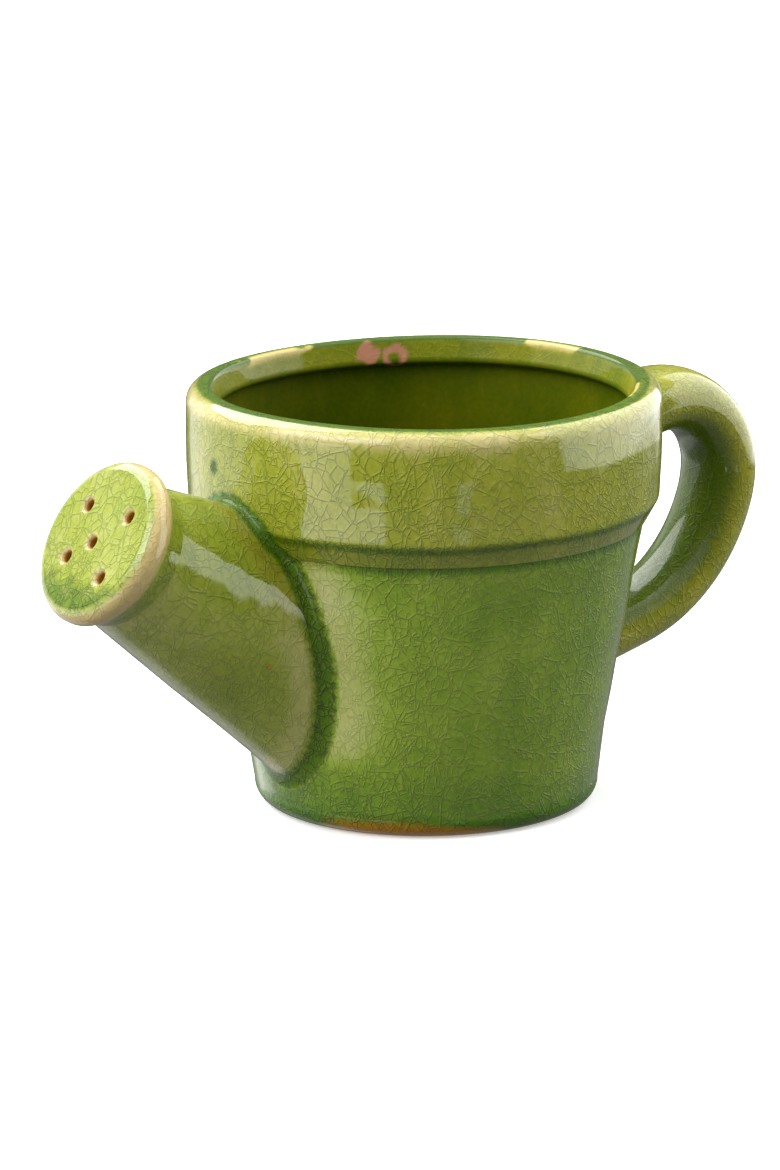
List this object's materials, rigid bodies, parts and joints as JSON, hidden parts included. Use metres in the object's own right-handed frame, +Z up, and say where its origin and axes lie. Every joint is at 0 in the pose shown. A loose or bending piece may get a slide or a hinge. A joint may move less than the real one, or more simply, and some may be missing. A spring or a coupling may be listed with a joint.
{
  "type": "watering can",
  "caption": "Glazed stoneware watering can with a tapered banded pot, a wide lofted spout ending in a perforated rose, and a thick ear-shaped handle.",
  "frame": {"origin": "centre of the foot ring's standing face, on the table", "axes": "+Z up; +X towards the spout and its rose, so the handle is at -X; the XZ plane is the can's mirror plane"},
  "size_m": [0.2096, 0.12, 0.1063],
  "materials": {
    "glaze_body": "glossy translucent olive-green crackle glaze",
    "glaze_band": "glossy translucent crackle glaze, thinner and yellower, pale tan at the edges",
    "glaze_pooled": "glossy pooled glaze, deep green",
    "bare_clay": "matt unglazed stoneware"
  },
  "bodies": {
    "root": {"pot_wall": "glaze_body", "pot_floor": "glaze_body", "foot_ring": "bare_clay", "rim_band": "glaze_band", "spout_shell": "glaze_body", "spout_luting": "glaze_pooled", "rose_collar": "glaze_band", "rose_plate": "glaze_body", "handle_strap": "glaze_body", "handle_top_luting": "glaze_pooled", "handle_bottom_luting": "glaze_pooled"}
  },
  "joints": []
}
